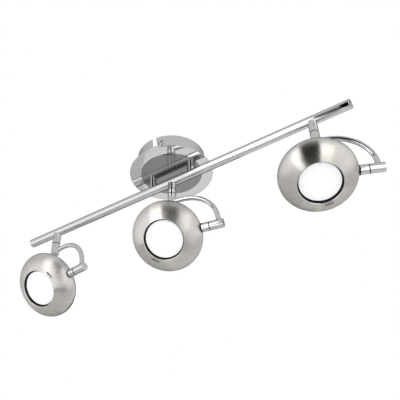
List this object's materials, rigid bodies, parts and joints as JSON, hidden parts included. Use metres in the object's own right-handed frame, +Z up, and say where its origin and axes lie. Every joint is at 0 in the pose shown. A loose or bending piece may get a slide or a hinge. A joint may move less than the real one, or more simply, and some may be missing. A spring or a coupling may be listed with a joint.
{
  "type": "ceiling spot bar",
  "caption": "Ceiling spot bar: a round canopy carries a chrome tube with swivelling, tilting saucer-shaped LED heads on bow arms.",
  "frame": {"origin": "middle of the mounting bracket's back face, on the ceiling plane", "axes": "+X along the bar, +Z up out of the ceiling face, -Y the side that the heads look towards at zero tilt"},
  "size_m": [0.5107, 0.11, 0.1629],
  "materials": {
    "chrome": "polished",
    "satin_nickel": "circular brushed satin nickel",
    "satin_disc": "dark satin",
    "zinc_steel": "bright zinc plated",
    "aluminium": "raw",
    "black_plastic": "matt black",
    "white_plastic": "moulded, fine grain",
    "diffuser": "frosted opal",
    "board": "white solder mask",
    "cable": "silicone insulation"
  },
  "bodies": {
    "base": {"mounting_bracket": "zinc_steel", "canopy_screw_front": "zinc_steel", "canopy_screw_back": "zinc_steel", "canopy_cup": "chrome", "canopy_plate": "chrome", "canopy_inlay": "satin_disc", "terminal_block": "white_plastic", "led_driver": "white_plastic", "post_left": "chrome", "post_right": "chrome", "post_nut_left": "zinc_steel", "post_nut_right": "zinc_steel", "bar_tube": "chrome", "bar_cap_left": "chrome", "bar_cap_right": "chrome", "bar_wiring": "cable", "knuckle_base_left": "chrome", "swivel_pin_left": "zinc_steel", "knuckle_base_middle": "chrome", "swivel_pin_middle": "zinc_steel", "knuckle_base_right": "chrome", "swivel_pin_right": "zinc_steel"},
    "arm_unit_left": {"knuckle_swivel_left": "chrome", "arm_left": "chrome", "hub_outer_left": "chrome"},
    "head_unit_left": {"hub_inner_left": "chrome", "hub_washer_left": "black_plastic", "tilt_pin_left": "zinc_steel", "head_back_left": "chrome", "head_front_left": "satin_nickel", "lens_bezel_left": "black_plastic", "lens_left": "diffuser", "led_board_left": "board", "heat_sink_left": "aluminium"},
    "arm_unit_middle": {"knuckle_swivel_middle": "chrome", "arm_middle": "chrome", "hub_outer_middle": "chrome"},
    "head_unit_middle": {"hub_inner_middle": "chrome", "hub_washer_middle": "black_plastic", "tilt_pin_middle": "zinc_steel", "head_back_middle": "chrome", "head_front_middle": "satin_nickel", "lens_bezel_middle": "black_plastic", "lens_middle": "diffuser", "led_board_middle": "board", "heat_sink_middle": "aluminium"},
    "arm_unit_right": {"knuckle_swivel_right": "chrome", "arm_right": "chrome", "hub_outer_right": "chrome"},
    "head_unit_right": {"hub_inner_right": "chrome", "hub_washer_right": "black_plastic", "tilt_pin_right": "zinc_steel", "head_back_right": "chrome", "head_front_right": "satin_nickel", "lens_bezel_right": "black_plastic", "lens_right": "diffuser", "led_board_right": "board", "heat_sink_right": "aluminium"}
  },
  "joints": [
    {"name": "swivel_left", "type": "hinge", "parent": "base", "child": "arm_unit_left", "pos_m": [-0.1987, 0, -0.0632], "axis": [0, 0, 1], "range_deg": [-163.9, 176.1]},
    {"name": "tilt_left", "type": "hinge", "parent": "arm_unit_left", "child": "head_unit_left", "pos_m": [-0.15057, -0.00514, -0.1263], "axis": [0.9943, -0.1063, 0], "range_deg": [-71.5, 168.5]},
    {"name": "swivel_middle", "type": "hinge", "parent": "base", "child": "arm_unit_middle", "pos_m": [0, 0, -0.0632], "axis": [0, 0, 1], "range_deg": [-182.2, 157.8]},
    {"name": "tilt_middle", "type": "hinge", "parent": "arm_unit_middle", "child": "head_unit_middle", "pos_m": [0.04731, 0.01023, -0.1263], "axis": [0.9774, 0.2113, 0], "range_deg": [-76.8, 163.2]},
    {"name": "swivel_right", "type": "hinge", "parent": "base", "child": "arm_unit_right", "pos_m": [0.1987, 0, -0.0632], "axis": [0, 0, 1], "range_deg": [-193.1, 146.9]},
    {"name": "tilt_right", "type": "hinge", "parent": "arm_unit_right", "child": "head_unit_right", "pos_m": [0.24322, 0.01899, -0.1263], "axis": [0.9198, 0.3923, 0], "range_deg": [-98.2, 141.8]}
  ]
}
